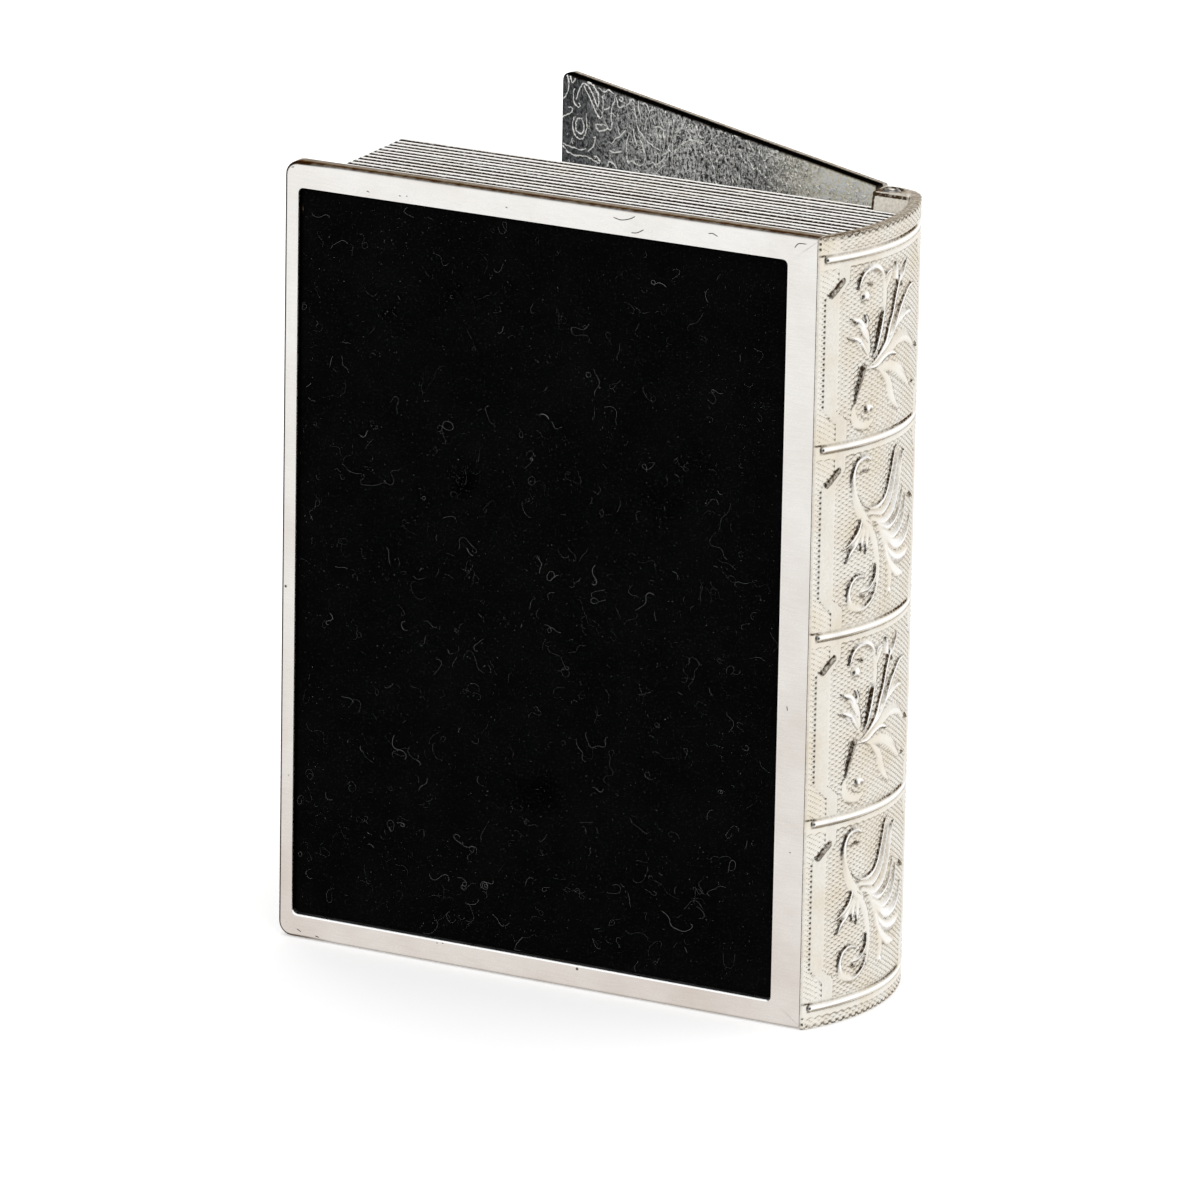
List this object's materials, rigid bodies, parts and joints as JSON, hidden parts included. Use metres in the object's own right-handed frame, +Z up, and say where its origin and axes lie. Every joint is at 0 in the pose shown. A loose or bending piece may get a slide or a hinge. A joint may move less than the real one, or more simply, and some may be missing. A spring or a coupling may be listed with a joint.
{
  "type": "book-shaped keepsake box",
  "caption": "Book-shaped metal keepsake box with a hinged lid, ridged page edges, a curved carved spine and a velvet panel on its back cover.",
  "frame": {"origin": "middle of the back cover's tail edge, which the box stands on", "axes": "+Z up from tail to head, +X from the fore-edge to the spine, +Y from the velvet back cover towards the lid"},
  "size_m": [0.0777, 0.0598, 0.1],
  "materials": {
    "satin_plate": "satin silver plate",
    "cast_plate": "silver plate on textured casting",
    "dark_plate": "darkened inside of a stamped plate",
    "pin_metal": "bare pin end",
    "velvet": "black velvet",
    "card": "matt card"
  },
  "bodies": {
    "case": {"back_cover": "satin_plate", "back_board": "card", "back_velvet": "velvet", "fore_edge_pages": "cast_plate", "head_pages": "cast_plate", "tail_pages": "cast_plate", "spine_shell": "cast_plate", "spine_inner_wall": "cast_plate", "head_hinge_pin": "pin_metal", "tail_hinge_pin": "pin_metal", "floor_board": "card", "floor_velvet": "velvet", "fore_edge_lining": "velvet", "spine_lining": "velvet", "tail_lining": "velvet", "head_lining": "velvet"},
    "lid": {"lid": "dark_plate"}
  },
  "joints": [
    {"name": "lid_hinge", "type": "hinge", "parent": "case", "child": "lid", "pos_m": [0.03385, 0.0245, 0.05], "axis": [0, 0, -1], "range_deg": [-27.7, 82.3]}
  ]
}
